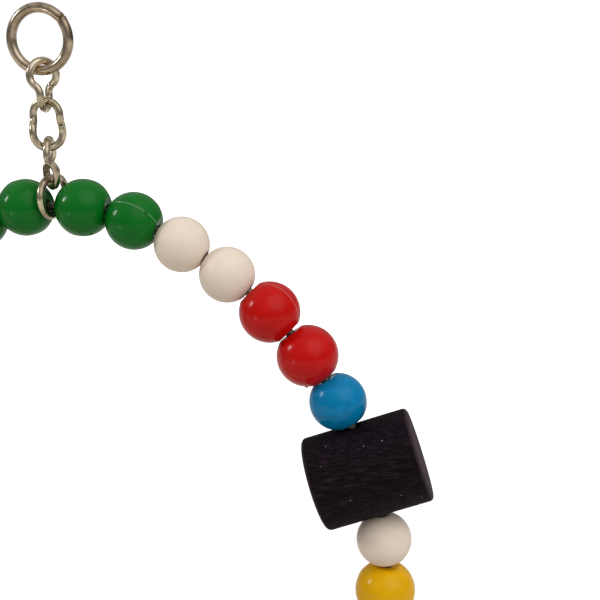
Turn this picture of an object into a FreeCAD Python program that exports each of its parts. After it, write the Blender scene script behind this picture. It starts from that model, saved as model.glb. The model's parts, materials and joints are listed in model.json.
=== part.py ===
import FreeCAD, Part
import math
import os

# A bird swing: a wire hoop strung with beads and two wooden blocks, a wooden perch across
# its foot, and a short chain with a ring to hang it by. Millimetres, +Z up, X along the
# perch, Y through the hoop. The origin is the inside top of the ring, where the hook bears.

V = FreeCAD.Vector
Z = V(0, 0, 1)
Y = V(0, 1, 0)

# Hanging ring
ring_wire = 2.6
ring_outer = 18.4

# Chain: twisted links that hang plumb, and a last one that lies across the hoop
link_wire = 2.0
link_length = 14.3
link_width = 9.6
link_twist = -32.0
link_play = 0.2
first_link_turn = 87.0
second_link_turn = 14.0
third_link_turn = 120.0
last_link_length = 15.0
last_link_height = 11.8
last_link_turn = 5.0

# Hoop wire, from the middle of its crown down one side
hoop_wire = 2.4
crown_flat = 3.2
crown_radius = 49.5
crown_end_angle = 20.8
shoulder_radius = 103.9
shoulder_end_angle = 72.2
side_radius = 92.8
side_end_angle = 98.0
leg_radius = 60.0
leg_angle = 90.0
eye_radius = 3.2
eye_turn = 280.0

# Beads: across, and along the wire
bead_sizes = {
    "green": (15.2, 13.4),
    "white": (14.6, 13.8),
    "red": (16.0, 14.4),
    "blue": (15.0, 13.2),
    "yellow": (16.0, 14.4),
}
bead_bore = 4.2
bead_rim = 0.6
bead_play = 0.15
first_bead_play = 0.6

# Wooden blocks, drilled across
block_across = 25.0
block_length = 29.0
block_bore = 4.8
block_edge = 1.2
block_turns = {"right": 7.0, "left": -11.0}

# Perch
perch_across = 14.0
perch_overhang = 9.0
perch_bore = 3.0
perch_edge = 1.5
perch_play = 0.2

# What each side of the hoop carries, from the crown down
string = ["green", "green", "white", "white", "red", "red", "blue", "block", "white", "yellow", "green"]


def rod_along(path, start, heading, radius):
    """Round rod swept along a flat wire path."""
    section = Part.Wire(Part.Circle(start, heading, radius).toShape())
    return path.makePipeShell([section], True, False)


def bent_rod(start, middle, end, radius):
    """Round rod bent to the arc through three points."""
    arc = Part.Arc(start, middle, end)
    circle = arc.toShape().Curve
    heading = circle.Axis.cross(start - circle.Center)
    section = Part.Face(Part.Wire(Part.Circle(start, heading, radius).toShape()))
    return section.revolve(circle.Center, circle.Axis, math.degrees(arc.length() / circle.Radius))


# Chain links

def around_chain(turn, across, up):
    """Point at a distance across from the line of the chain, turned about it."""
    angle = math.radians(turn)
    return V(across * math.cos(angle), across * math.sin(angle), up)


def leg_rods(start, end):
    """Leg of a twisted link: two equal bends that leave and arrive plumb."""
    middle = (start + end) * 0.5
    sideways = V(end.x - start.x, end.y - start.y, 0)
    drop = (start.z - end.z) / 2
    sweep = 2 * math.atan2(sideways.Length / 2, drop)
    radius = drop / math.sin(sweep)
    sideways.normalize()
    bulge = sideways * (radius * (1 - math.cos(sweep / 2))) - Z * (radius * math.sin(sweep / 2))
    return [
        bent_rod(start, start + bulge, middle, link_wire / 2),
        bent_rod(middle, end - bulge, end, link_wire / 2),
    ]


def twisted_link():
    """Link that stands on Z, its round ends turned apart and its legs bent to follow them."""
    bend = (link_width - link_wire) / 2
    straight = (link_length - link_wire) / 2 - bend
    top, foot = link_twist / 2, -link_twist / 2
    rods = []
    for turn, up, tip in ((top, straight, straight + bend), (foot, -straight, -straight - bend)):
        ends = [around_chain(turn, side * bend, up) for side in (1, -1)]
        rods.append(bent_rod(ends[0], V(0, 0, tip), ends[1], link_wire / 2))
    for side in (1, -1):
        rods += leg_rods(around_chain(top, side * bend, straight), around_chain(foot, side * bend, -straight))
    return rods[0].multiFuse(rods[1:]).Solids[0]


def hung_link(link, turn, middle_height):
    """A link that hangs plumb, with its middle turned about the line of the chain."""
    link = link.copy()
    link.rotate(V(), Z, turn)
    link.translate(V(0, 0, middle_height))
    return link


def across_link(middle_height):
    """Last link, a flat oval with its long way across the hoop wire and its short way upright."""
    bend = (last_link_height - link_wire) / 2
    straight = last_link_length / 2 - link_wire / 2 - bend
    near, far = V(-straight, 0, bend), V(straight, 0, bend)
    edges = [
        Part.LineSegment(near, far).toShape(),
        Part.Arc(far, V(straight + bend, 0, 0), V(straight, 0, -bend)).toShape(),
        Part.LineSegment(V(straight, 0, -bend), V(-straight, 0, -bend)).toShape(),
        Part.Arc(V(-straight, 0, -bend), V(-straight - bend, 0, 0), near).toShape(),
    ]
    link = rod_along(Part.Wire(edges), near, V(1, 0, 0), link_wire / 2)
    link.rotate(V(), Z, 90 - last_link_turn)
    link.translate(V(0, 0, middle_height))
    return link


# Heights down the line of the chain, at the middle of each wire
ring_radius = (ring_outer - ring_wire) / 2
ring_height = -(ring_outer / 2 - ring_wire)
ring_foot = ring_height - ring_radius
link_pitch = link_length - 2 * link_wire - link_play
link_feet = [ring_foot + (ring_wire - link_wire) / 2 - link_pitch]
link_feet.append(link_feet[0] - link_pitch)
link_feet.append(link_feet[1] - link_pitch)
last_foot = link_feet[2] + 2 * link_wire + link_play - last_link_height
crown_height = last_foot + (link_wire + hoop_wire) / 2 + link_play


# Hoop wire as runs of length and curvature, measured from the middle of the crown

def arc_run(radius, start, end):
    return (radius * math.radians(abs(end - start)), math.copysign(1 / radius, end - start))


hoop_runs = [
    (crown_flat, 0.0),
    arc_run(crown_radius, 0, crown_end_angle),
    arc_run(shoulder_radius, crown_end_angle, shoulder_end_angle),
    arc_run(side_radius, shoulder_end_angle, side_end_angle),
    arc_run(leg_radius, side_end_angle, leg_angle),
]
hoop_bent = sum(length for length, curvature in hoop_runs)


def along_hoop(distance, runs):
    """Place and heading, in degrees below level, at a distance along the right half."""
    x, z, heading = 0.0, crown_height, 0.0
    for length, curvature in runs:
        step = min(distance, length)
        turn = curvature * step
        if curvature:
            x += (math.sin(heading + turn) - math.sin(heading)) / curvature
            z -= (math.cos(heading) - math.cos(heading + turn)) / curvature
        else:
            x += step * math.cos(heading)
            z -= step * math.sin(heading)
        heading += turn
        distance -= step
        if distance <= 0:
            break
    return x, z, math.degrees(heading)


def half_size(piece):
    """Half of what a piece takes up along the wire, and the radius of the face it meets with."""
    if piece == "block":
        return block_across / 2, block_bore / 2
    across, along = bead_sizes[piece]
    return along / 2, math.sqrt(across ** 2 - along ** 2) / 2


def string_places():
    """Distance along the wire of each piece's middle, and where the last one ends."""
    end = link_wire / 2 + first_bead_play
    face = 0.0
    places = []
    for piece in string:
        half, own_face = half_size(piece)
        slack = 0.0
        if places:
            turn = along_hoop(end + half, hoop_runs)[2] - along_hoop(places[-1], hoop_runs)[2]
            slack = max(face, own_face) * math.radians(abs(turn))
        places.append(end + slack + half)
        end = places[-1] + half + bead_play
        face = own_face
    return places, end


places, string_end = string_places()
perch_top = max(string_end, hoop_bent) + perch_play
perch_distance = perch_top + perch_across / 2
leg_length = perch_distance + perch_across / 2 + perch_play + eye_radius + hoop_wire / 2 - hoop_bent
leg_runs = hoop_runs + [(leg_length, 0.0)]
eye_runs = leg_runs + [arc_run(eye_radius, leg_angle, leg_angle + eye_turn)]
leg_x, perch_height, leg_heading = along_hoop(perch_distance, leg_runs)


def half_path():
    """Edges of the right half of the hoop wire, from the crown to the end of its eye."""
    edges = []
    reached = 0.0
    for length, curvature in eye_runs:
        ends = [along_hoop(reached + part * length, eye_runs)[:2] for part in (0, 0.5, 1)]
        start, middle, end = [V(x, 0, z) for x, z in ends]
        if curvature:
            edges.append(Part.Arc(start, middle, end).toShape())
        else:
            edges.append(Part.LineSegment(start, end).toShape())
        reached += length
    return edges


def hoop():
    """Both halves of the hoop wire as one bent rod with an eye at each end."""
    crown = V(0, 0, crown_height)
    right = rod_along(Part.Wire(half_path()), crown, V(1, 0, 0), hoop_wire / 2)
    left = right.mirror(V(), V(1, 0, 0))
    return right.fuse(left).removeSplitter()


# Beads and blocks, made upright about Z

def bead(colour):
    """Ball with a flat at each end and a bore, its rims eased."""
    across, along = bead_sizes[colour]
    ball = Part.makeSphere(across / 2)
    band = Part.makeCylinder(across, along, V(0, 0, -along / 2))
    bore = Part.makeCylinder(bead_bore / 2, along, V(0, 0, -along / 2))
    blank = ball.common(band)
    rims = [edge for edge in blank.Edges if isinstance(edge.Curve, Part.Circle)]
    return blank.makeFillet(bead_rim, rims).cut(bore)


def block():
    """Short length of dowel, lying along X and drilled upright through its middle."""
    dowel = Part.makeCylinder(block_across / 2, block_length, V(-block_length / 2, 0, 0), V(1, 0, 0))
    rims = [edge for edge in dowel.Edges if isinstance(edge.Curve, Part.Circle)]
    bore = Part.makeCylinder(block_bore / 2, block_across, V(0, 0, -block_across / 2))
    return dowel.makeFillet(block_edge, rims).cut(bore)


def threaded(piece, shape, distance, side):
    """Stand a piece on the hoop, its bore along the wire, midway between chord and arc."""
    shape = shape.copy()
    half = half_size(piece)[0]
    x0, z0, heading = along_hoop(distance - half, leg_runs)
    x1, z1, heading = along_hoop(distance + half, leg_runs)
    x2, z2, heading = along_hoop(distance, leg_runs)
    chord = V(x1 - x0, 0, z1 - z0)
    x = (x0 + x1) / 4 + x2 / 2
    z = (z0 + z1) / 4 + z2 / 2
    lean = math.degrees(math.atan2(-chord.x, -chord.z))
    if side == "left":
        x, lean = -x, -lean
    shape.rotate(V(), Y, lean)
    shape.translate(V(x, 0, z))
    return shape


def perch():
    """Dowel across the foot of the hoop, drilled for both legs."""
    length = 2 * (leg_x + perch_overhang)
    start = V(-length / 2, 0, perch_height)
    dowel = Part.makeCylinder(perch_across / 2, length, start, V(1, 0, 0))
    rims = [edge for edge in dowel.Edges if isinstance(edge.Curve, Part.Circle)]
    dowel = dowel.makeFillet(perch_edge, rims)
    for x in (-leg_x, leg_x):
        foot = V(x, 0, perch_height - perch_across / 2)
        dowel = dowel.cut(Part.makeCylinder(perch_bore / 2, perch_across, foot))
    return dowel


def ring():
    return Part.makeTorus(ring_radius, ring_wire / 2, V(0, 0, ring_height), Y)


# All pieces by name
nodes = {"hang_ring": ring()}
middles = [foot + (link_length - link_wire) / 2 for foot in link_feet]
turns = (first_link_turn, second_link_turn, third_link_turn)
link = twisted_link()
for number, (turn, middle) in enumerate(zip(turns, middles), 1):
    nodes[f"chain_link_{number}"] = hung_link(link, turn, middle)
nodes["hoop_link"] = across_link(last_foot + (last_link_height - link_wire) / 2)
nodes["hoop_wire"] = hoop()
nodes["perch"] = perch()

beads = {colour: bead(colour) for colour in bead_sizes}
for side in ("right", "left"):
    for number, (piece, distance) in enumerate(zip(string, places), 1):
        if piece == "block":
            shape = block()
            shape.rotate(V(), Z, block_turns[side])
            name = f"{side}_{number:02d}_wood_block"
        else:
            shape = beads[piece]
            name = f"{side}_{number:02d}_{piece}_bead"
        nodes[name] = threaded(piece, shape, distance, side)

os.makedirs("parts", exist_ok=True)
for name, shape in nodes.items():
    shape.exportStep(f"parts/{name}.step")

print(f"crown height {crown_height:.2f}, leg at x {leg_x:.2f}, heading {leg_heading:.1f}")
print(f"perch height {perch_height:.2f}, straight leg {leg_length:.2f}, string ends at {string_end:.2f}")
for name, shape in nodes.items():
    print(f"{name}: valid {shape.isValid()}, solids {len(shape.Solids)}, volume {shape.Volume:.1f}")
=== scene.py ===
"""A bird swing: a wire hoop strung with moulded beads and dyed wooden blocks, a perch across
its foot, and a short twisted chain with a ring to hang it by."""

import json
import math
import random

import bmesh
import bpy
from bpy.props import (
    FloatProperty, FloatVectorProperty, IntProperty, PointerProperty, StringProperty
)
from bpy.types import Operator, Panel, PropertyGroup
from mathutils import Matrix, Vector


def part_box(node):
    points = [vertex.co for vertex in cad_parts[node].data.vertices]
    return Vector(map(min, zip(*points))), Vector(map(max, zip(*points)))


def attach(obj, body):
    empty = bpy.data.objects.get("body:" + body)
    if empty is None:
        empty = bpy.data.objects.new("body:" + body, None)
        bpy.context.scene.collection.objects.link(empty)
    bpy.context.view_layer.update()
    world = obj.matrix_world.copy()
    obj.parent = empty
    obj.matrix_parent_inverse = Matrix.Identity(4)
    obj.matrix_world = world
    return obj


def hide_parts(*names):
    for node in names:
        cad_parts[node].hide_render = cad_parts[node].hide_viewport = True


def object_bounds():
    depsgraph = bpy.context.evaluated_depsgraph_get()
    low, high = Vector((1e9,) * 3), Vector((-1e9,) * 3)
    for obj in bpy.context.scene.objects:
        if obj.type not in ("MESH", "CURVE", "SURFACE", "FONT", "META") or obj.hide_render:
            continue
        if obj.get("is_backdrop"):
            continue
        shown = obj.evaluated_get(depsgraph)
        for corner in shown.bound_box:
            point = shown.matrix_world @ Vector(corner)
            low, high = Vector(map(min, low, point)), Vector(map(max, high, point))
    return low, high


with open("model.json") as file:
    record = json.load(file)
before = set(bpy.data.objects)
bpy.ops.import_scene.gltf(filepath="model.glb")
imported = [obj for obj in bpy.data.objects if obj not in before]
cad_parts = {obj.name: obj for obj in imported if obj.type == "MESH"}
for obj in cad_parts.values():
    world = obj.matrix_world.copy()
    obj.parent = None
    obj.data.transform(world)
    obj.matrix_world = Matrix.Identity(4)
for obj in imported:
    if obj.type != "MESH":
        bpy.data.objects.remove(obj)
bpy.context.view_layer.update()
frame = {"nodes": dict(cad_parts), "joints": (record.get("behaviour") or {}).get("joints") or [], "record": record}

bl_info = {
    "name": "Bird Swing",
    "version": (1, 0, 0),
    "blender": (4, 5, 0),
    "location": "3D View > Sidebar > Bird Swing",
    "description": "Bead-strung hoop with a perch, dyed wooden blocks, a twisted chain and a ring",
    "category": "Object",
}

MM = 0.001
JOINTS = {joint["name"]: joint for joint in frame["joints"]}
BEAD_NODES = sorted(name for name in frame["nodes"] if name.endswith("_bead"))
BLOCK_NODES = sorted(name for name in frame["nodes"] if name.endswith("_wood_block"))

# Turn of each block's solid about the wire
SOLID_TURNS = {"right": math.radians(7), "left": math.radians(-11)}

# Bead sizes: across, and along the wire
BEAD_SIZES = {
    "green": (15.2 * MM, 13.4 * MM),
    "white": (14.6 * MM, 13.8 * MM),
    "red": (16.0 * MM, 14.4 * MM),
    "blue": (15.0 * MM, 13.2 * MM),
    "yellow": (16.0 * MM, 14.4 * MM),
}

# Roughness of each plastic, and the strength of its flow streaks
PLASTICS = {
    "green": (0.14, 0.10),
    "white": (0.3, 0.03),
    "red": (0.14, 0.08),
    "blue": (0.16, 0.12),
    "yellow": (0.14, 0.06),
}

# Lamps: place from the middle of the swing, width and height, all in metres, and watts
KEY_OFFSET = (0.75, -0.55, 0.95)
LAMPS = {
    "key": (KEY_OFFSET, 1.2, 1.2, 7.3),
    "window": ((-0.81, -0.3, 0.51), 0.07, 0.22, 2.4),
    "doorway": ((-0.4, -0.56, -0.12), 0.05, 0.05, 0.1),
}

# Share of the white background that glossy surfaces show
GLOSS_SHARE = 0.14

# Steps round the bends of the wires, length of a step along the hoop, and steps of a bead's cut
RING_STEPS, LEG_STEPS, BEND_STEPS, EYE_STEPS = 90, 10, 20, 28
HOOP_STEP = 1.5 * MM
RIM_STEPS, BALL_STEPS = 6, 44

# Sockets of a Mix node for colours: its other kinds of socket have the same labels
FACTOR, FIRST, SECOND, MIXED = 0, 6, 7, 2


# Colours

def linear(hex_colour):
    """sRGB hex colour as linear red, green, blue and alpha."""
    values = [int(hex_colour[i:i + 2], 16) / 255 for i in (1, 3, 5)]
    parts = [v / 12.92 if v <= 0.04045 else ((v + 0.055) / 1.055) ** 2.4 for v in values]
    return (*parts, 1.0)


def colour_property(name, hex_colour, description):
    return StringProperty(name=name, description=description, default=hex_colour)


def length_property(name, millimetres, description):
    return FloatProperty(
        name=name, description=description, default=millimetres * MM, min=0.0,
        unit="LENGTH", precision=5,
    )


def angle_property(name, degrees, description):
    return FloatProperty(
        name=name, description=description, default=math.radians(degrees), unit="ROTATION"
    )


def share_property(name, share, description):
    return FloatProperty(name=name, description=description, default=share, min=0.0, max=1.0)


# Settings

class RingSettings(PropertyGroup):
    wire: length_property("Wire", 2.6, "Thickness of the ring's wire")
    outer: length_property("Outer Diameter", 18.4, "Across the ring, outside")
    joint_at: angle_property("Joint", 38.0, "Where the ends of the wire meet, round from the right")
    flat: angle_property("Straight Ends", 13.0, "How much of each end was left unrolled")
    gap: length_property("Gap", 0.01, "Between the two ends of the wire")
    end_size: share_property("End Size", 0.995, "Cut ends' width, as a share of the wire's")
    bright: colour_property("Bright", "#C6B49B", "Clean plating")
    dull: colour_property("Dull", "#94806A", "Tarnished plating")
    grime: colour_property("Grime", "#4C3826", "Settled grime")
    roughness: share_property("Roughness", 0.16, "Roughness of the clean plating")


class ChainSettings(PropertyGroup):
    wire: length_property("Wire", 2.0, "Thickness of the links' wire")
    length: length_property("Length", 14.3, "Outer length of a twisted link")
    width: length_property("Width", 9.6, "Outer width of a twisted link")
    first_twist: angle_property("First Twist", -44.0, "Turn of the first link's top on its foot")
    twist: angle_property("Twist", -32.0, "Turn of the other links' tops on their feet")
    first_turn: angle_property("First Turn", 77.0, "Turn of the first link about the chain")
    second_turn: angle_property("Second Turn", 14.0, "Turn of the second link about the chain")
    third_turn: angle_property("Third Turn", 120.0, "Turn of the third link about the chain")
    last_length: length_property("Last Length", 15.0, "Long way of the link on the hoop")
    last_height: length_property("Last Height", 11.8, "Short way of the link on the hoop")
    last_turn: angle_property("Last Turn", 5.0, "Turn of the last link off square")
    gap: length_property("Joint Gap", 0.12, "Gap where a link's ends meet, wide enough to see")
    end_size: share_property("End Size", 0.86, "Cut ends' width, as a share of the wire's")
    bright: colour_property("Bright", "#DED0B6", "Clean plating")
    dull: colour_property("Dull", "#AD9C82", "Tarnished plating")
    grime: colour_property("Grime", "#54402B", "Settled grime")
    roughness: share_property("Roughness", 0.16, "Roughness of the clean plating")


class HoopSettings(PropertyGroup):
    wire: length_property("Wire", 2.4, "Thickness of the hoop wire")
    crown_flat: length_property("Crown Flat", 3.2, "Half of the straight stretch at the crown")
    crown_radius: length_property("Crown Radius", 49.5, "Bend beside the crown")
    crown_end: angle_property("Crown End", 20.8, "Heading where the crown's bend ends")
    shoulder_radius: length_property("Shoulder Radius", 103.9, "Bend of the shoulder")
    shoulder_end: angle_property("Shoulder End", 72.2, "Heading where the shoulder ends")
    side_radius: length_property("Side Radius", 92.8, "Bend of the side")
    side_end: angle_property("Side End", 98.0, "Heading where the side ends")
    leg_radius: length_property("Leg Radius", 60.0, "Bend back to the plumb leg")
    eye_radius: length_property("Eye Radius", 3.2, "Bend of the eye under the perch")
    eye_turn: angle_property("Eye Turn", 280.0, "How far round the eye goes")
    end_size: share_property("End Size", 0.72, "Cut ends' width, as a share of the wire's")
    # Painted shade: the hoop's plating colours are set dark so that the wire, which shows mostly in the creases
    # between beads, looks like the shade there
    bright: colour_property("Bright", "#7E7A73", "Clean plating")
    dull: colour_property("Dull", "#5C5750", "Tarnished plating")
    grime: colour_property("Grime", "#38332C", "Settled grime")
    roughness: share_property("Roughness", 0.42, "Roughness of the clean plating")


class BeadSettings(PropertyGroup):
    bore: length_property("Bore", 4.2, "Hole through a bead, inside")
    mouth: length_property("Mouth", 3.0, "Hole at a bead's ends, where the wire runs true")
    rim: length_property("Rim", 0.3, "Easing between a bead's ball and its flat")
    lip: length_property("Lip", 0.12, "Easing round the mouth of the hole")
    seam_height: length_property("Seam Height", 0.11, "How far the mould's parting line stands up")
    seam_width: length_property("Seam Width", 0.15, "Half of the parting line, wide enough to see")
    nub: length_property("Nub", 0.55, "Radius of the stub left where the plastic was let in")
    segments: IntProperty(name="Segments", description="Steps round a bead", default=96, min=24)
    green: colour_property("Green", "#06661A", "Green plastic")
    white: colour_property("White", "#E6D5C4", "White plastic")
    red: colour_property("Red", "#BA0C07", "Red plastic")
    blue: colour_property("Blue", "#0076A6", "Blue plastic")
    yellow: colour_property("Yellow", "#DAA400", "Yellow plastic")


class WoodSettings(PropertyGroup):
    right_turn: angle_property("Right Turn", 10.5, "Turn of the right block about the wire")
    left_turn: angle_property("Left Turn", -11.0, "Turn of the left block about the wire")
    block_length: length_property("Block Length", 29.0, "End to end of a block")
    run_out: angle_property("Grain Run-Out", -12.0, "How far the grain runs off the block's length")
    dye: colour_property("Dye", "#0A040A", "Dyed wood")
    # Raised fibres: partly worn dye, partly a painted sheen where they catch the light
    dye_worn_and_sheen: colour_property("Worn Dye", "#35262F", "Dyed wood where the fibres stand up")
    dye_end: colour_property("Dyed End", "#544950", "Dyed end grain, which dries paler")
    pale: colour_property("Pale Wood", "#DDBD8E", "Sanded early wood of the perch")
    pale_late: colour_property("Late Wood", "#B98D57", "Late wood of the perch")
    pale_pore: colour_property("Open Pores", "#8C6539", "Open pores of the perch")
    pale_end: colour_property("Sawn End", "#A77B49", "The perch at its sawn ends")
    dust: colour_property("Dust", "#B9B0B0", "Dust in a few pores of the blocks")


class StageSettings(PropertyGroup):
    azimuth: angle_property("Azimuth", 14.0, "Camera's place round the swing")
    elevation: angle_property("Elevation", 13.85, "Camera's height above level")
    roll: angle_property("Roll", -2.09, "Turn of the picture")
    distance: length_property("Distance", 289.15, "Camera to the place it looks at")
    aim: FloatVectorProperty(
        name="Aim", description="Place that the camera looks at", unit="LENGTH",
        default=(0.06616, 0.0, -0.07395),
    )
    lens: FloatProperty(name="Lens", description="Focal length in millimetres", default=67.6)
    sensor: FloatProperty(name="Sensor", description="Sensor width in millimetres", default=36.0)
    floor_drop: length_property("Floor Drop", 60.0, "Floor below the lowest point of the swing")
    floor_reach: length_property("Floor Reach", 6000.0, "Half the width of the floor")
    floor: colour_property("Floor", "#D8D6D2", "Pale floor")


class SwingSettings(PropertyGroup):
    ring: PointerProperty(type=RingSettings)
    chain: PointerProperty(type=ChainSettings)
    hoop: PointerProperty(type=HoopSettings)
    beads: PointerProperty(type=BeadSettings)
    wood: PointerProperty(type=WoodSettings)
    stage: PointerProperty(type=StageSettings)


# Nodes

def add_node(tree, kind, inputs=(), **settings):
    """Add a node, set its properties, and set or link each named or numbered input."""
    node = tree.nodes.new(kind)
    for name, value in settings.items():
        setattr(node, name, value)
    for name, value in dict(inputs).items():
        if isinstance(value, bpy.types.NodeSocket):
            tree.links.new(value, node.inputs[name])
        else:
            node.inputs[name].default_value = value
    return node


def new_material(name):
    """Empty material, its tree and its Object coordinates."""
    material = bpy.data.materials.new(name)
    material.use_nodes = True
    tree = material.node_tree
    tree.nodes.clear()
    return material, tree, add_node(tree, "ShaderNodeTexCoord").outputs["Object"]


def moulded_polystyrene(name, hex_colour, roughness, streak):
    """Injection-moulded polystyrene: a hard skin with sharp highlights, a slight ripple where the
    melt cooled, faint flow streaks of thicker and thinner pigment, and a parting line painted paler as a highlight
    where its ridge catches the light."""
    material, tree, coordinates = new_material(name)
    flow_size, ripple_size, haze_size, ripple_depth = 5.0 * MM, 1.8 * MM, 2.6 * MM, 0.04 * MM
    thin_lift, seam_highlight_paleness, haze_roughness = 0.0015, 0.12, 0.12
    flow = add_node(tree, "ShaderNodeTexNoise", {
        "Vector": coordinates, "Scale": 1 / flow_size, "Detail": 4.0, "Roughness": 0.55,
        "Distortion": 1.4,
    })
    streaks = add_node(tree, "ShaderNodeMapRange", {
        "Value": flow.outputs["Fac"], "From Min": 0.3, "From Max": 0.7,
    })
    base = linear(hex_colour)
    thin = tuple(min(1.0, c * (1 + streak) + thin_lift) for c in base[:3]) + (1.0,)
    thick = tuple(c * (1 - streak) for c in base[:3]) + (1.0,)
    body = add_node(tree, "ShaderNodeMix", {
        FACTOR: streaks.outputs["Result"], FIRST: thick, SECOND: thin,
    }, data_type="RGBA")
    # Painted highlight: the parting line is mixed towards a paler colour that stands in for light caught on its
    # ridge
    pale = tuple(c + (1 - c) * seam_highlight_paleness for c in base[:3]) + (1.0,)
    line = add_node(tree, "ShaderNodeAttribute", attribute_name="parting_line")
    colour = add_node(tree, "ShaderNodeMix", {
        FACTOR: line.outputs["Fac"], FIRST: body.outputs[MIXED], SECOND: pale,
    }, data_type="RGBA")
    haze = add_node(tree, "ShaderNodeTexNoise", {
        "Vector": coordinates, "Scale": 1 / haze_size, "Detail": 6.0, "Roughness": 0.65,
    })
    gloss = add_node(tree, "ShaderNodeMapRange", {
        "Value": haze.outputs["Fac"], "From Min": 0.35, "From Max": 0.75,
        "To Min": roughness, "To Max": roughness + haze_roughness,
    })
    ripple = add_node(tree, "ShaderNodeTexNoise", {
        "Vector": coordinates, "Scale": 1 / ripple_size, "Detail": 1.0, "Roughness": 0.4,
    })
    skin = add_node(tree, "ShaderNodeBump", {
        "Height": ripple.outputs["Fac"], "Strength": 0.2, "Distance": ripple_depth,
    })
    shader = add_node(tree, "ShaderNodeBsdfPrincipled", {
        "Base Color": colour.outputs[MIXED], "Roughness": gloss.outputs["Result"],
        "Normal": skin.outputs["Normal"], "IOR": 1.55, "Specular IOR Level": 0.14,
    })
    add_node(tree, "ShaderNodeOutputMaterial", {"Surface": shader.outputs["BSDF"]})
    return material


def plated_wire(name, finish):
    """Drawn steel wire, plated with nickel or zinc: a metal with die scratches, drawn wide enough
    to show, cloudy where it has tarnished, and darker where grime has settled."""
    material, tree, coordinates = new_material(name)
    cloud_size, grime_size, scratch_size, scratch_depth = 5.0 * MM, 7.0 * MM, 1.0 * MM, 0.01 * MM
    cloud_roughness = 0.08
    cloud = add_node(tree, "ShaderNodeTexNoise", {
        "Vector": coordinates, "Scale": 1 / cloud_size, "Detail": 2.0, "Roughness": 0.5,
        "Distortion": 0.6,
    })
    tarnish = add_node(tree, "ShaderNodeMapRange", {
        "Value": cloud.outputs["Fac"], "From Min": 0.3, "From Max": 0.7,
    })
    plated = add_node(tree, "ShaderNodeMix", {
        FACTOR: tarnish.outputs["Result"],
        FIRST: linear(finish.bright), SECOND: linear(finish.dull),
    }, data_type="RGBA")
    patch = add_node(tree, "ShaderNodeTexNoise", {
        "Vector": coordinates, "Scale": 1 / grime_size, "Detail": 4.0, "Roughness": 0.6,
        "Distortion": 0.8,
    })
    settled = add_node(tree, "ShaderNodeMapRange", {
        "Value": patch.outputs["Fac"], "From Min": 0.46, "From Max": 0.68, "To Max": 0.75,
    })
    colour = add_node(tree, "ShaderNodeMix", {
        FACTOR: settled.outputs["Result"],
        FIRST: plated.outputs[MIXED], SECOND: linear(finish.grime),
    }, data_type="RGBA")
    scratches = add_node(tree, "ShaderNodeTexNoise", {
        "Vector": coordinates, "Scale": 1 / scratch_size, "Detail": 3.0, "Roughness": 0.7,
    })
    gloss = add_node(tree, "ShaderNodeMapRange", {
        "Value": cloud.outputs["Fac"], "From Min": 0.3, "From Max": 0.7,
        "To Min": finish.roughness, "To Max": finish.roughness + cloud_roughness,
    })
    drawn = add_node(tree, "ShaderNodeBump", {
        "Height": scratches.outputs["Fac"], "Strength": 0.06, "Distance": scratch_depth,
    })
    shader = add_node(tree, "ShaderNodeBsdfPrincipled", {
        "Base Color": colour.outputs[MIXED], "Metallic": 1.0, "Roughness": gloss.outputs["Result"],
        "Normal": drawn.outputs["Normal"],
    })
    add_node(tree, "ShaderNodeOutputMaterial", {"Surface": shader.outputs["BSDF"]})
    return material


def stretched(tree, place, length, width):
    """Place on a piece of wood, drawn out along its grain on X."""
    return add_node(tree, "ShaderNodeMapping", {
        "Vector": place, "Scale": (1 / length, 1 / width, 1 / width),
    }, vector_type="POINT").outputs["Vector"]


def end_share(tree, place, half_length, depth, most):
    """Share of the end's colour: none along the wood, and rising to the most at its ends."""
    end_skin = 0.1 * MM
    axes = add_node(tree, "ShaderNodeSeparateXYZ", {0: place})
    from_middle = add_node(tree, "ShaderNodeMath", {0: axes.outputs["X"]}, operation="ABSOLUTE")
    return add_node(tree, "ShaderNodeMapRange", {
        "Value": from_middle.outputs[0], "From Min": half_length - depth,
        "From Max": half_length - end_skin, "To Max": most,
    }).outputs["Result"]


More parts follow.
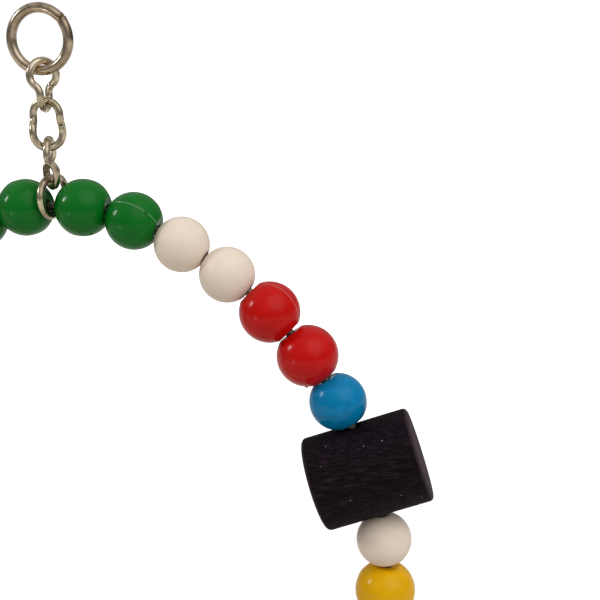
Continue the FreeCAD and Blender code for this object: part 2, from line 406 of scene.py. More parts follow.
def dyed_hardwood(name, wood, centre, turned):
    """Hardwood dowel dyed near black: open pores and raised fibres along the grain catch a little
    light, painted into their lighter colour together with worn dye, the sawn ends dry paler, and white dust sits
    in the pores."""
    material, tree, coordinates = new_material(name)
    fibre_width, fibre_length, pore_size, speck_size = 0.3 * MM, 4.0 * MM, 0.5 * MM, 2.4 * MM
    end_depth, groove_depth, specks_from, dust_strength = 0.9 * MM, 0.25 * MM, 0.72, 0.4
    own = add_node(tree, "ShaderNodeMapping", {
        "Vector": coordinates, "Location": centre, "Rotation": turned,
    }, vector_type="TEXTURE").outputs["Vector"]
    slanted = add_node(tree, "ShaderNodeMapping", {
        "Vector": own, "Rotation": (0.0, wood.run_out, 0.0),
    }, vector_type="POINT").outputs["Vector"]
    fibres = add_node(tree, "ShaderNodeTexNoise", {
        "Vector": stretched(tree, slanted, fibre_length, fibre_width),
        "Scale": 1.0, "Detail": 4.0, "Roughness": 0.7, "Distortion": 0.3,
    })
    raised = add_node(tree, "ShaderNodeMapRange", {
        "Value": fibres.outputs["Fac"], "From Min": 0.48, "From Max": 0.72, "To Max": 0.85,
    })
    # Painted sheen: the raised fibres are mixed towards a lighter colour, partly worn dye and partly the light
    # they catch
    side = add_node(tree, "ShaderNodeMix", {
        FACTOR: raised.outputs["Result"], FIRST: linear(wood.dye), SECOND: linear(wood.dye_worn_and_sheen),
    }, data_type="RGBA")
    pores = add_node(tree, "ShaderNodeTexNoise", {
        "Vector": own, "Scale": 1 / pore_size, "Detail": 3.0, "Roughness": 0.7,
    })
    end_grain = add_node(tree, "ShaderNodeMix", {
        FACTOR: pores.outputs["Fac"], FIRST: linear(wood.dye_worn_and_sheen), SECOND: linear(wood.dye_end),
    }, data_type="RGBA")
    dyed = add_node(tree, "ShaderNodeMix", {
        FACTOR: end_share(tree, own, wood.block_length / 2, end_depth, 0.8),
        FIRST: side.outputs[MIXED], SECOND: end_grain.outputs[MIXED],
    }, data_type="RGBA")
    cells = add_node(tree, "ShaderNodeTexVoronoi", {
        "Vector": own, "Scale": 1 / speck_size, "Randomness": 1.0,
    })
    spot = add_node(tree, "ShaderNodeMapRange", {
        "Value": cells.outputs["Distance"], "From Min": 0.06, "From Max": 0.1,
        "To Min": 1.0, "To Max": 0.0,
    })
    chance = add_node(tree, "ShaderNodeSeparateColor", {0: cells.outputs["Color"]})
    rare = add_node(
        tree, "ShaderNodeMath", {0: chance.outputs[0], 1: specks_from}, operation="GREATER_THAN"
    )
    dust = add_node(tree, "ShaderNodeMath", {
        0: spot.outputs["Result"], 1: rare.outputs[0],
    }, operation="MULTIPLY")
    faint = add_node(
        tree, "ShaderNodeMath", {0: dust.outputs[0], 1: dust_strength}, operation="MULTIPLY"
    )
    colour = add_node(tree, "ShaderNodeMix", {
        FACTOR: faint.outputs[0], FIRST: dyed.outputs[MIXED], SECOND: linear(wood.dust),
    }, data_type="RGBA")
    grooves = add_node(tree, "ShaderNodeBump", {
        "Height": fibres.outputs["Fac"], "Strength": 0.8, "Distance": groove_depth,
    })
    shader = add_node(tree, "ShaderNodeBsdfPrincipled", {
        "Base Color": colour.outputs[MIXED], "Roughness": 0.7, "Normal": grooves.outputs["Normal"],
        "IOR": 1.5, "Specular IOR Level": 0.08,
    })
    add_node(tree, "ShaderNodeOutputMaterial", {"Surface": shader.outputs["BSDF"]})
    return material


def sanded_ramin(name, wood, centre, half_length):
    """Sanded ramin dowel, left bare: pale straight grain with short pores, and darker ends."""
    material, tree, coordinates = new_material(name)
    band_width, band_length, pore_width, pore_length = 2.4 * MM, 70.0 * MM, 0.3 * MM, 3.5 * MM
    end_depth, groove_depth = 1.2 * MM, 0.12 * MM
    own = add_node(tree, "ShaderNodeMapping", {
        "Vector": coordinates, "Location": centre,
    }, vector_type="TEXTURE").outputs["Vector"]
    bands = add_node(tree, "ShaderNodeTexNoise", {
        "Vector": stretched(tree, own, band_length, band_width),
        "Scale": 1.0, "Detail": 3.0, "Roughness": 0.5, "Distortion": 0.5,
    })
    late = add_node(tree, "ShaderNodeMapRange", {
        "Value": bands.outputs["Fac"], "From Min": 0.4, "From Max": 0.72, "To Max": 0.7,
    })
    grain = add_node(tree, "ShaderNodeMix", {
        FACTOR: late.outputs["Result"], FIRST: linear(wood.pale), SECOND: linear(wood.pale_late),
    }, data_type="RGBA")
    pores = add_node(tree, "ShaderNodeTexNoise", {
        "Vector": stretched(tree, own, pore_length, pore_width),
        "Scale": 1.0, "Detail": 2.0, "Roughness": 0.6,
    })
    open_pores = add_node(tree, "ShaderNodeMapRange", {
        "Value": pores.outputs["Fac"], "From Min": 0.6, "From Max": 0.74, "To Max": 0.5,
    })
    pored = add_node(tree, "ShaderNodeMix", {
        FACTOR: open_pores.outputs["Result"], FIRST: grain.outputs[MIXED],
        SECOND: linear(wood.pale_pore),
    }, data_type="RGBA")
    colour = add_node(tree, "ShaderNodeMix", {
        FACTOR: end_share(tree, own, half_length, end_depth, 0.45), FIRST: pored.outputs[MIXED],
        SECOND: linear(wood.pale_end),
    }, data_type="RGBA")
    grooves = add_node(tree, "ShaderNodeBump", {
        "Height": pores.outputs["Fac"], "Strength": 0.5, "Distance": groove_depth,
    })
    shader = add_node(tree, "ShaderNodeBsdfPrincipled", {
        "Base Color": colour.outputs[MIXED], "Roughness": 0.6, "Normal": grooves.outputs["Normal"],
        "IOR": 1.5,
    })
    add_node(tree, "ShaderNodeOutputMaterial", {"Surface": shader.outputs["BSDF"]})
    return material


# Geometry trees

def tree_with(name, sockets):
    tree = bpy.data.node_groups.new(name, "GeometryNodeTree")
    tree.is_modifier = True
    tree.interface.new_socket("Geometry", in_out="INPUT", socket_type="NodeSocketGeometry")
    for label, kind in sockets.items():
        tree.interface.new_socket(label, in_out="INPUT", socket_type=kind)
    tree.interface.new_socket("Geometry", in_out="OUTPUT", socket_type="NodeSocketGeometry")
    return tree, add_node(tree, "NodeGroupInput").outputs


def end_tree(tree, mesh, given):
    smooth = add_node(tree, "GeometryNodeSetShadeSmooth", {"Geometry": mesh})
    real = add_node(tree, "GeometryNodeRealizeInstances", {"Geometry": smooth.outputs["Geometry"]})
    finished = add_node(tree, "GeometryNodeSetMaterial", {
        "Geometry": real.outputs["Geometry"], "Material": given["Material"],
    })
    add_node(tree, "NodeGroupOutput", {0: finished.outputs["Geometry"]})
    return tree


def wire_tree():
    """Round wire along a path. The path's own radius draws its ends in."""
    tree, given = tree_with("Bent Wire", {
        "Wire Radius": "NodeSocketFloat", "Sides": "NodeSocketInt",
        "Material": "NodeSocketMaterial",
    })
    section = add_node(tree, "GeometryNodeCurvePrimitiveCircle", {
        "Resolution": given["Sides"], "Radius": given["Wire Radius"],
    })
    drawn_in = add_node(tree, "GeometryNodeInputRadius")
    wire = add_node(tree, "GeometryNodeCurveToMesh", {
        "Curve": given["Geometry"], "Profile Curve": section.outputs["Curve"],
        "Scale": drawn_in.outputs["Radius"], "Fill Caps": True,
    })
    return end_tree(tree, wire.outputs["Mesh"], given)


def bead_tree():
    """Bead turned from its outline, with the mould's parting line down both sides, marked for its
    painted highlight, and the stub where the plastic was let in. The steps crowd together at the line."""
    merge_distance, stub_segments, stub_rings = 0.0005 * MM, 16, 10
    tree, given = tree_with("Moulded Bead", {
        "Segments": "NodeSocketInt", "Bore Radius": "NodeSocketFloat",
        "Seam Height": "NodeSocketFloat", "Seam Width": "NodeSocketFloat",
        "Crowding": "NodeSocketFloat", "Nub Radius": "NodeSocketFloat",
        "Nub Place": "NodeSocketVector", "Material": "NodeSocketMaterial",
    })
    outline = add_node(
        tree, "GeometryNodeAttributeDomainSize", {0: given["Geometry"]}, component="CURVE"
    )
    count = outline.outputs["Point Count"]
    rows = add_node(tree, "ShaderNodeMath", {0: count, 1: 1.0}, operation="ADD")
    columns = add_node(tree, "ShaderNodeMath", {0: given["Segments"], 1: 1.0}, operation="ADD")
    grid = add_node(tree, "GeometryNodeMeshGrid", {
        "Size X": 1.0, "Size Y": 1.0,
        "Vertices X": rows.outputs[0], "Vertices Y": columns.outputs[0],
    })
    share = add_node(tree, "ShaderNodeSeparateXYZ", {0: grid.outputs["UV Map"]})
    step = add_node(tree, "ShaderNodeMath", {0: share.outputs["X"], 1: count}, operation="MULTIPLY")
    whole = add_node(tree, "ShaderNodeMath", {0: step.outputs[0]}, operation="ROUND")
    index = add_node(
        tree, "ShaderNodeMath", {0: whole.outputs[0], 1: count}, operation="FLOORED_MODULO"
    )
    position = add_node(tree, "GeometryNodeInputPosition")
    point = add_node(tree, "GeometryNodeSampleIndex", {
        "Geometry": given["Geometry"], "Value": position.outputs["Position"],
        "Index": index.outputs[0],
    }, data_type="FLOAT_VECTOR", domain="POINT")
    outlined = add_node(tree, "ShaderNodeSeparateXYZ", {0: point.outputs["Value"]})

    turn = add_node(
        tree, "ShaderNodeMath", {0: share.outputs["Y"], 1: math.tau}, operation="MULTIPLY"
    )
    twice = add_node(tree, "ShaderNodeMath", {0: turn.outputs[0], 1: 2.0}, operation="MULTIPLY")
    wave = add_node(tree, "ShaderNodeMath", {0: twice.outputs[0]}, operation="SINE")
    half = add_node(tree, "ShaderNodeMath", {0: given["Crowding"], 1: 0.5}, operation="MULTIPLY")
    shift = add_node(
        tree, "ShaderNodeMath", {0: wave.outputs[0], 1: half.outputs[0]}, operation="MULTIPLY"
    )
    angle = add_node(
        tree, "ShaderNodeMath", {0: turn.outputs[0], 1: shift.outputs[0]}, operation="SUBTRACT"
    )
    cosine, sine = (
        add_node(tree, "ShaderNodeMath", {0: angle.outputs[0]}, operation=name).outputs[0]
        for name in ("COSINE", "SINE")
    )

    aside = add_node(
        tree, "ShaderNodeMath", {0: outlined.outputs["X"], 1: sine}, operation="MULTIPLY"
    )
    widths = add_node(
        tree, "ShaderNodeMath", {0: aside.outputs[0], 1: given["Seam Width"]}, operation="DIVIDE"
    )
    square = add_node(tree, "ShaderNodeMath", {0: widths.outputs[0], 1: 2.0}, operation="POWER")
    away = add_node(tree, "ShaderNodeMath", {0: square.outputs[0], 1: -1.0}, operation="MULTIPLY")
    bell = add_node(tree, "ShaderNodeMath", {0: away.outputs[0]}, operation="EXPONENT")
    outside = add_node(
        tree, "ShaderNodeMath", {0: outlined.outputs["X"], 1: given["Bore Radius"]},
        operation="GREATER_THAN",
    )
    line = add_node(
        tree, "ShaderNodeMath", {0: bell.outputs[0], 1: outside.outputs[0]}, operation="MULTIPLY"
    )
    radius = add_node(tree, "ShaderNodeMath", {
        0: line.outputs[0], 1: given["Seam Height"], 2: outlined.outputs["X"],
    }, operation="MULTIPLY_ADD")
    x, y = (
        add_node(tree, "ShaderNodeMath", {0: radius.outputs[0], 1: part}, operation="MULTIPLY")
        for part in (cosine, sine)
    )
    place = add_node(tree, "ShaderNodeCombineXYZ", {
        "X": x.outputs[0], "Y": y.outputs[0], "Z": outlined.outputs["Z"],
    })
    marked = add_node(tree, "GeometryNodeStoreNamedAttribute", {
        "Geometry": grid.outputs["Mesh"], "Name": "parting_line", "Value": line.outputs[0],
    }, data_type="FLOAT", domain="POINT")
    spun = add_node(tree, "GeometryNodeSetPosition", {
        "Geometry": marked.outputs["Geometry"], "Position": place.outputs["Vector"],
    })
    closed = add_node(tree, "GeometryNodeMergeByDistance", {
        "Geometry": spun.outputs["Geometry"], "Distance": merge_distance,
    })
    stub = add_node(tree, "GeometryNodeMeshUVSphere", {
        "Segments": stub_segments, "Rings": stub_rings, "Radius": given["Nub Radius"],
    })
    set_on = add_node(tree, "GeometryNodeTransform", {
        "Geometry": stub.outputs["Mesh"], "Translation": given["Nub Place"],
    })
    both = add_node(tree, "GeometryNodeJoinGeometry", {0: closed.outputs["Geometry"]})
    tree.links.new(set_on.outputs["Geometry"], both.inputs[0])
    return end_tree(tree, both.outputs["Geometry"], given)


# Paths and outlines

def path_curve(name, points, radii=None, closed=False):
    """Curve of straight steps through points, drawn in or out at each by its radius."""
    curve = bpy.data.curves.new(name, "CURVE")
    curve.dimensions = "3D"
    spline = curve.splines.new("POLY")
    spline.points.add(len(points) - 1)
    for number, point in enumerate(points):
        spline.points[number].co = (*point, 1.0)
        spline.points[number].radius = radii[number] if radii else 1.0
    spline.use_cyclic_u = closed
    return curve


def eased_ends(points, wire, end_size, gap=0.0):
    """Path with half a gap taken off each end, and the radii that round its ends within a fifth of
    the wire's thickness."""
    points = [Vector(point) for point in points]
    drawn = ((0.0, end_size), (0.06, 0.4 + 0.6 * end_size), (0.2, 1.0))
    clear_of_ends = 0.25
    ends = []
    for near, beyond in ((points[0], points[1]), (points[-1], points[-2])):
        heading = (beyond - near).normalized()
        ends.append([
            (near + heading * (gap / 2 + wire * along), radius) for along, radius in drawn
        ])
    reach = gap / 2 + wire * clear_of_ends
    between = [p for p in points if min((p - points[0]).length, (p - points[-1]).length) > reach]
    placed = ends[0] + [(p, 1.0) for p in between] + ends[1][::-1]
    return [point for point, radius in placed], [radius for point, radius in placed]


def steps(count):
    return [number / count for number in range(count + 1)]


def ring_path(ring, height):
    """Round path whose unrolled ends meet in a slight corner."""
    radius = (ring.outer - ring.wire) / 2
    corner = radius / math.cos(ring.flat)
    start, sweep = ring.joint_at + ring.flat, math.tau - 2 * ring.flat
    turns = [(radius, start + share * sweep) for share in steps(RING_STEPS)]
    turns = [(corner, ring.joint_at), *turns, (corner, ring.joint_at)]
    return [Vector((r * math.cos(a), 0, height + r * math.sin(a))) for r, a in turns]


def link_path(chain, twist):
    """Loop of a twisted link that stands on Z, from the middle of one leg and back to it."""
    bend = (chain.width - chain.wire) / 2
    straight = (chain.length - chain.wire) / 2 - bend
    top, foot = twist / 2, -twist / 2

    def around(turn, across, up):
        return Vector((across * math.cos(turn), across * math.sin(turn), up))

    def leg(side):
        start = around(top, side * bend, straight)
        end = around(foot, side * bend, -straight)
        sideways = Vector((end.x - start.x, end.y - start.y, 0))
        sweep = 2 * math.atan2(sideways.length / 2, straight)
        radius = straight / math.sin(sweep)
        sideways.normalize()
        turns = [share * sweep for share in steps(LEG_STEPS)]
        bow = [
            sideways * radius * (1 - math.cos(turn)) - Vector((0, 0, radius * math.sin(turn)))
            for turn in turns
        ]
        return [start + way for way in bow], [end - way for way in reversed(bow)]

    turns = [share * math.pi for share in steps(BEND_STEPS)][1:-1]
    foot_end = [around(foot, bend * math.cos(a), -straight - bend * math.sin(a)) for a in turns]
    top_end = [around(top, -bend * math.cos(a), straight + bend * math.sin(a)) for a in turns]
    down, arriving = leg(1)
    far_down, far_arriving = leg(-1)
    far_leg = (far_down + far_arriving[1:])[::-1]
    return arriving + foot_end + far_leg + top_end + down


def last_link_path(chain):
    """Loop of the flat link on the hoop, from the corner over its far end and back to it."""
    bend = (chain.last_height - chain.wire) / 2
    straight = chain.last_length / 2 - chain.wire / 2 - bend
    turns = [math.pi / 2 - share * math.pi for share in steps(BEND_STEPS)]
    far = [Vector((straight + bend * math.cos(a), 0, bend * math.sin(a))) for a in turns]
    near = [-point for point in far]
    return far + near + [far[0]]


def hoop_path(hoop, crown, leg_x, eye_foot):
    """Path of the hoop wire from one eye, over the crown, to the other."""
    bends = (
        (hoop.crown_radius, 0.0, hoop.crown_end),
        (hoop.shoulder_radius, hoop.crown_end, hoop.shoulder_end),
        (hoop.side_radius, hoop.shoulder_end, hoop.side_end),
        (hoop.leg_radius, hoop.side_end, math.pi / 2),
    )
    half = [Vector((0, 0, crown)), Vector((hoop.crown_flat, 0, crown))]
    for radius, start, end in bends:
        side = math.copysign(radius, end - start)
        corner = half[-1]
        count = max(4, round(radius * abs(end - start) / HOOP_STEP))
        for share in steps(count)[1:]:
            heading = start + share * (end - start)
            half.append(corner + side * Vector((
                math.sin(heading) - math.sin(start), 0, math.cos(heading) - math.cos(start),
            )))
    eye_height = eye_foot + hoop.wire / 2 + hoop.eye_radius
    eye_middle = Vector((half[-1].x - hoop.eye_radius, 0, eye_height))
    for share in steps(EYE_STEPS):
        turn = share * hoop.eye_turn
        half.append(eye_middle + hoop.eye_radius * Vector((math.cos(turn), 0, -math.sin(turn))))
    mirrored = [Vector((-point.x, 0, point.z)) for point in half[:0:-1]]
    return mirrored + half


def bead_outline(across, along, beads):
    """Closed outline of half a bead's cut: ball, eased rim, flat, eased mouth and bore."""
    radius, half, bore, mouth = across / 2, along / 2, beads.bore / 2, beads.mouth / 2
    rim, lip = beads.rim, beads.lip
    shoulder, eased = half - 4 * lip, 0.3 * lip
    rim_x = math.sqrt((radius - rim) ** 2 - (half - rim) ** 2)
    ball_turn = math.atan2(half - rim, rim_x)
    top = [
        (bore, shoulder - (bore - mouth)), (mouth, shoulder), (mouth, half - lip),
        (mouth + eased, half - eased), (mouth + lip, half),
    ]
    for share in steps(RIM_STEPS):
        turn = math.pi / 2 - share * (math.pi / 2 - ball_turn)
        top.append((rim_x + rim * math.cos(turn), half - rim + rim * math.sin(turn)))
    ball = [ball_turn * (1 - 2 * share) for share in steps(BALL_STEPS)][1:-1]
    foot = [(x, -z) for x, z in reversed(top)]
    around = top + [(radius * math.cos(a), radius * math.sin(a)) for a in ball] + foot
    bore_wall = [(bore, half * share) for share in (-0.5, 0.0, 0.5)]
    return [Vector((x, 0, z)) for x, z in around + bore_wall]


# Meshes

def linked(name, data):
    """New object in the scene."""
    thing = bpy.data.objects.new(name, data)
    bpy.context.scene.collection.objects.link(thing)
    return thing


def grown(name, curve, tree, values):
    """Object with the plain mesh that a tree makes from a curve, its faces turned outwards."""
    source = linked(name + "_path", curve)
    modifier = source.modifiers.new("Shape", "NODES")
    modifier.node_group = tree
    for socket in tree.interface.items_tree:
        if socket.in_out == "INPUT" and socket.name in values:
            modifier[socket.identifier] = values[socket.name]
    evaluated = source.evaluated_get(bpy.context.evaluated_depsgraph_get())
    mesh = bpy.data.meshes.new_from_object(evaluated)
    bpy.data.objects.remove(source)
    mesh.name = name
    shell = bmesh.new()
    shell.from_mesh(mesh)
    bmesh.ops.recalc_face_normals(shell, faces=shell.faces)
    shell.to_mesh(mesh)
    shell.free()
    return linked(name, mesh)


def turned_copy(node, pivot, rotation):
    """Object like a node's solid, turned about a pivot, with its triangles joined."""
    merge_distance, sharp_from = 0.001 * MM, math.radians(40)
    mesh = frame["nodes"][node].data.copy()
    mesh.materials.clear()
    mesh.transform(Matrix.Translation(pivot) @ rotation @ Matrix.Translation(-Vector(pivot)))
    shell = bmesh.new()
    shell.from_mesh(mesh)
    bmesh.ops.remove_doubles(shell, verts=shell.verts, dist=merge_distance)
    shell.to_mesh(mesh)
    shell.free()
    mesh.shade_smooth()
    mesh.set_sharp_from_angle(angle=sharp_from)
    return linked("dowel_" + node, mesh)


def stand_for(piece, node):
    """Put a finished piece in place of a node, on the node's body."""
    bodies = frame["record"]["behaviour"]["bodies"]
    body = next(name for name, nodes in bodies.items() if node in nodes)
    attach(piece, body)
    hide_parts(node)


def along_axis(joint, turn):
    """Place of a threaded piece: Z down the wire, and X turned from the front to the outside."""
    axis = Vector(joint["axis"]).normalized()
    front = Vector((0, -1, 0))
    outside = front.cross(axis) if front.cross(axis).z > 0 else axis.cross(front)
    x = front * math.cos(turn) + outside * math.sin(turn)
    turned = Matrix((x, axis.cross(x), axis)).transposed().to_4x4()
    return Matrix.Translation(joint["pos_m"]) @ turned


# Operators

class SWING_OT_ring(Operator):
    """Bend the hanging ring from nickel-plated wire"""
    bl_idname = "swing.ring"
    bl_label = "Hanging Ring"

    def execute(self, context):
        ring = context.scene.swing.ring
        low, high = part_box("hang_ring")
        path = ring_path(ring, (low.z + high.z) / 2)
        points, radii = eased_ends(path, ring.wire, ring.end_size, ring.gap)
        plated = plated_wire("nickel_plated_ring_wire", ring)
        piece = grown("rolled_hanging_ring", path_curve("ring_path", points, radii), wire_tree(), {
            "Wire Radius": ring.wire / 2, "Sides": 36, "Material": plated,
        })
        stand_for(piece, "hang_ring")
        return {"FINISHED"}


class SWING_OT_chain(Operator):
    """Bend the twisted links and the flat link that lies across the hoop"""
    bl_idname = "swing.chain"
    bl_label = "Twisted Chain"

    def execute(self, context):
        chain = context.scene.swing.chain
        tree = wire_tree()
        plated = plated_wire("nickel_plated_link_wire", chain)
        values = {"Wire Radius": chain.wire / 2, "Sides": 32, "Material": plated}
        bends = {
            "chain_link_1": (chain.first_turn, link_path(chain, chain.first_twist)),
            "chain_link_2": (chain.second_turn, link_path(chain, chain.twist)),
            "chain_link_3": (chain.third_turn, link_path(chain, chain.twist)),
            "hoop_link": (math.pi / 2 - chain.last_turn, last_link_path(chain)),
        }
        for node, (turn, loop) in bends.items():
            low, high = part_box(node)
            points, radii = eased_ends(loop, chain.wire, chain.end_size, chain.gap)
            piece = grown("bent_" + node, path_curve(node + "_path", points, radii), tree, values)
            height = Matrix.Translation((0, 0, (low.z + high.z) / 2))
            piece.data.transform(height @ Matrix.Rotation(turn, 4, "Z"))
            stand_for(piece, node)
        return {"FINISHED"}


class SWING_OT_hoop(Operator):
    """Bend the hoop wire and the eyes that keep the perch on it"""
    bl_idname = "swing.hoop"
    bl_label = "Hoop Wire"

    def execute(self, context):
        hoop = context.scene.swing.hoop
        low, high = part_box("hoop_wire")
        path = hoop_path(hoop, high.z - hoop.wire / 2, high.x - hoop.wire / 2, low.z)
        points, radii = eased_ends(path, hoop.wire, hoop.end_size)
        # Painted shade: the hoop wire is coloured dark to stand in for the shade in the creases between the beads
        crease_shade_zinc = plated_wire("galvanised_hoop_wire_crease_shade", hoop)
        piece = grown("bent_hoop_wire", path_curve("hoop_path", points, radii), wire_tree(), {
            "Wire Radius": hoop.wire / 2, "Sides": 32, "Material": crease_shade_zinc,
        })
        stand_for(piece, "hoop_wire")
        return {"FINISHED"}


class SWING_OT_beads(Operator):
    """Mould the beads, each with its parting line and the stub where the plastic was let in"""
    bl_idname = "swing.beads"
    bl_label = "Moulded Beads"

    def execute(self, context):
        beads = context.scene.swing.beads
        tree = bead_tree()
        finishes = {}
        for colour, finish in PLASTICS.items():
            name = f"moulded_{colour}_polystyrene"
            finishes[colour] = moulded_polystyrene(name, getattr(beads, colour), *finish)
        # In degrees: the parting line's turn from the front to the outside of the hoop, and the
        # stub's slope along the wire, by chance where the photograph doesn't show them
        seen_turns = {"right_02_green_bead": 46.0, "right_06_red_bead": -68.0}
        seen_slopes = {"right_06_red_bead": 51.0}
        inside, turn_spread, least_slope, most_slope = -90, 25, 26, 42
        crowding, sunk = 0.86, 0.35
        chance = random.Random(7)
        for node in BEAD_NODES:
            colour = node.split("_")[2]
            across, along = BEAD_SIZES[colour]
            any_turn = inside + chance.uniform(-turn_spread, turn_spread)
            any_slope = chance.uniform(least_slope, most_slope)
            turn = math.radians(seen_turns.get(node, any_turn))
            slope = math.radians(seen_slopes.get(node, any_slope))
            reach = across / 2 - sunk * beads.nub
            outline = path_curve(node + "_outline", bead_outline(across, along, beads), closed=True)
            piece = grown("moulded_" + node, outline, tree, {
                "Segments": beads.segments, "Bore Radius": beads.bore / 2 + beads.lip,
                "Seam Height": beads.seam_height, "Seam Width": beads.seam_width,
                "Crowding": crowding, "Nub Radius": beads.nub,
                "Nub Place": (reach * math.cos(slope), 0.0, reach * math.sin(slope)),
                "Material": finishes[colour],
            })
            piece.data.transform(along_axis(JOINTS[node + "_spin"], turn))
            stand_for(piece, node)
        return {"FINISHED"}


class SWING_OT_wood(Operator):
    """Dye the drilled blocks and leave the perch bare"""
    bl_idname = "swing.wood"
    bl_label = "Blocks and Perch"

    def execute(self, context):
        wood = context.scene.swing.wood
        for node in BLOCK_NODES:
            joint = JOINTS[node + "_spin"]
            side = node.split("_")[0]
            turn = wood.right_turn if side == "right" else wood.left_turn
            up = -Vector(joint["axis"]).normalized()
            level = Vector((0, 1, 0)).cross(up)
            grain = level * math.cos(turn) + Vector((0, 1, 0)) * math.sin(turn)
            turned = Matrix((grain, up.cross(grain), up)).transposed().to_euler()
            dyed = dyed_hardwood(f"dyed_hardwood_{side}", wood, joint["pos_m"], turned)
            further = Matrix.Rotation(turn - SOLID_TURNS[side], 4, up)
            block = turned_copy(node, joint["pos_m"], further)
            block.data.materials.append(dyed)
            stand_for(block, node)
        low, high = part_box("perch")
        bare = sanded_ramin("sanded_ramin", wood, (low + high) / 2, (high.x - low.x) / 2)
        frame["nodes"]["perch"].data.materials.clear()
        frame["nodes"]["perch"].data.materials.append(bare)
        return {"FINISHED"}


# Stage

def seen_rays(tree):
    """One for rays from the camera and through glass, a share for gloss, nothing for the rest."""
    path = add_node(tree, "ShaderNodeLightPath")
    gloss = add_node(
        tree, "ShaderNodeMath", {0: path.outputs["Is Glossy Ray"], 1: GLOSS_SHARE},
        operation="MULTIPLY",
    )
    shiny = add_node(
        tree, "ShaderNodeMath", {0: path.outputs["Is Camera Ray"], 1: gloss.outputs[0]},
        operation="MAXIMUM",
    )
    clear = add_node(
        tree, "ShaderNodeMath", {0: shiny.outputs[0], 1: path.outputs["Is Transmission Ray"]},
        operation="MAXIMUM",
    )
    return clear.outputs[0]


def pale_paper(hex_colour):
    """Matt backdrop paper that keeps a soft shadow. A glow that only the camera and gloss see, and
    that grows away from the swing as the lamps' light falls off, makes it white."""
    material, tree, coordinates = new_material("pale_backdrop_paper")
    matt = add_node(tree, "ShaderNodeBsdfDiffuse", {"Color": linear(hex_colour)})
    away = add_node(tree, "ShaderNodeVectorMath", {0: coordinates}, operation="LENGTH")
    white = add_node(tree, "ShaderNodeMapRange", {
        "Value": away.outputs["Value"], "From Min": 0.3, "From Max": 0.7,
        "To Min": 0.42, "To Max": 0.95,
    })
    lift = add_node(tree, "ShaderNodeMath", {
        0: seen_rays(tree), 1: white.outputs["Result"],
    }, operation="MULTIPLY")
    glow = add_node(
        tree, "ShaderNodeEmission", {"Color": linear("#FFFFFF"), "Strength": lift.outputs[0]}
    )
    both = add_node(
        tree, "ShaderNodeAddShader", {0: matt.outputs["BSDF"], 1: glow.outputs["Emission"]}
    )
    add_node(tree, "ShaderNodeOutputMaterial", {"Surface": both.outputs["Shader"]})
    return material


def lay_floor(stage, foot):
    """Pale paper below the swing."""
    height, reach = foot - stage.floor_drop, stage.floor_reach
    corners = [(x * reach, y * reach, height) for x, y in ((-1, -1), (1, -1), (1, 1), (-1, 1))]
    mesh = bpy.data.meshes.new("floor")
    mesh.from_pydata(corners, [], [(0, 1, 2, 3)])
    mesh.materials.append(pale_paper(stage.floor))
    floor = linked("floor", mesh)
    floor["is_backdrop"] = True


def studio_world():
    """Studio: dim at the horizon, lighter overhead, with a soft glow where the key lamp hangs, and
    white to the camera."""
    world = bpy.data.worlds.new("studio")
    world.use_nodes = True
    tree = world.node_tree
    tree.nodes.clear()
    towards = add_node(tree, "ShaderNodeTexCoord").outputs["Generated"]
    direction = add_node(tree, "ShaderNodeSeparateXYZ", {0: towards})
    overhead = add_node(tree, "ShaderNodeMapRange", {
        "Value": direction.outputs["Z"], "From Max": 0.8, "To Min": 0.06, "To Max": 0.5,
    })
    key_side = add_node(
        tree, "ShaderNodeVectorMath", {0: towards, 1: Vector(KEY_OFFSET).normalized()},
        operation="DOT_PRODUCT",
    )
    glow = add_node(tree, "ShaderNodeMapRange", {
        "Value": key_side.outputs["Value"], "From Min": 0.72, "To Max": 1.1,
    }, interpolation_type="SMOOTHSTEP")
    soft = add_node(
        tree, "ShaderNodeMath", {0: overhead.outputs["Result"], 1: glow.outputs["Result"]},
        operation="ADD",
    )
    strength = add_node(tree, "ShaderNodeMapRange", {
        "Value": seen_rays(tree), "To Min": soft.outputs[0], "To Max": 1.0,
    })
    light = add_node(tree, "ShaderNodeBackground", {
        "Color": linear("#FFFFFF"), "Strength": strength.outputs["Result"],
    })
    add_node(tree, "ShaderNodeOutputWorld", {"Surface": light.outputs["Background"]})
    return world


def hang_lamps(middle):
    """Area lamps that face the middle of the swing. Gloss doesn't show the key lamp's square."""
    for name, (offset, width, height, watts) in LAMPS.items():
        data = bpy.data.lights.new(name, "AREA")
        data.shape, data.size, data.size_y, data.energy = "RECTANGLE", width, height, watts
        lamp = linked(name, data)
        lamp.visible_glossy = name != "key"
        lamp.location = middle + Vector(offset)
        lamp.rotation_euler = (-Vector(offset)).to_track_quat("-Z", "Y").to_euler()


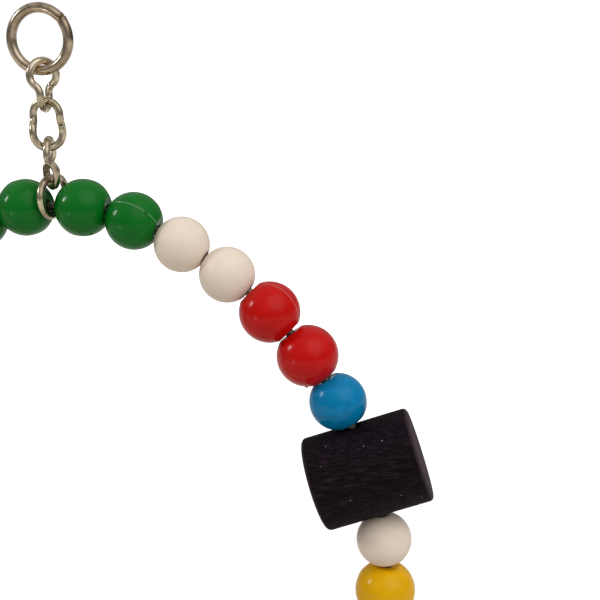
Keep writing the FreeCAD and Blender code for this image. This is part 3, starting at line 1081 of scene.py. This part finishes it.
def set_camera(stage):
    """Camera at the photograph's angle."""
    view = Vector((
        -math.sin(stage.azimuth) * math.cos(stage.elevation),
        math.cos(stage.azimuth) * math.cos(stage.elevation),
        -math.sin(stage.elevation),
    ))
    right = Vector((math.cos(stage.azimuth), math.sin(stage.azimuth), 0))
    up = right.cross(view)
    across = right * math.cos(stage.roll) + up * math.sin(stage.roll)
    over = up * math.cos(stage.roll) - right * math.sin(stage.roll)
    lens = bpy.data.cameras.new("camera")
    lens.lens, lens.sensor_width = stage.lens, stage.sensor
    camera = linked("camera", lens)
    turned = Matrix((across, over, -view)).transposed().to_4x4()
    place = Vector(stage.aim) - view * stage.distance
    camera.matrix_world = Matrix.Translation(place) @ turned
    bpy.context.scene.camera = camera


class SWING_OT_stage(Operator):
    """Set the floor, the lights and the camera"""
    bl_idname = "swing.stage"
    bl_label = "Stage"

    def execute(self, context):
        stage = context.scene.swing.stage
        low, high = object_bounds()
        lay_floor(stage, low.z)
        context.scene.world = studio_world()
        hang_lamps((low + high) / 2)
        set_camera(stage)
        context.scene.view_settings.view_transform = "Standard"
        return {"FINISHED"}


OPERATORS = (
    SWING_OT_ring, SWING_OT_chain, SWING_OT_hoop, SWING_OT_beads, SWING_OT_wood, SWING_OT_stage
)


class SWING_PT_panel(Panel):
    """Makes the swing's pieces in turn"""
    bl_idname = "SWING_PT_panel"
    bl_label = "Bird Swing"
    bl_space_type = "VIEW_3D"
    bl_region_type = "UI"
    bl_category = "Bird Swing"

    def draw(self, context):
        for operator in OPERATORS:
            self.layout.operator(operator.bl_idname)


GROUPS = (
    RingSettings, ChainSettings, HoopSettings, BeadSettings, WoodSettings, StageSettings,
    SwingSettings,
)
CLASSES = (*GROUPS, *OPERATORS, SWING_PT_panel)


def register():
    for cls in CLASSES:
        bpy.utils.register_class(cls)
    bpy.types.Scene.swing = PointerProperty(type=SwingSettings)


def unregister():
    del bpy.types.Scene.swing
    for cls in reversed(CLASSES):
        bpy.utils.unregister_class(cls)


def main():
    register()
    bpy.ops.swing.ring()
    bpy.ops.swing.chain()
    bpy.ops.swing.hoop()
    bpy.ops.swing.beads()
    bpy.ops.swing.wood()
    bpy.ops.swing.stage()


if __name__ == "__main__":
    main()
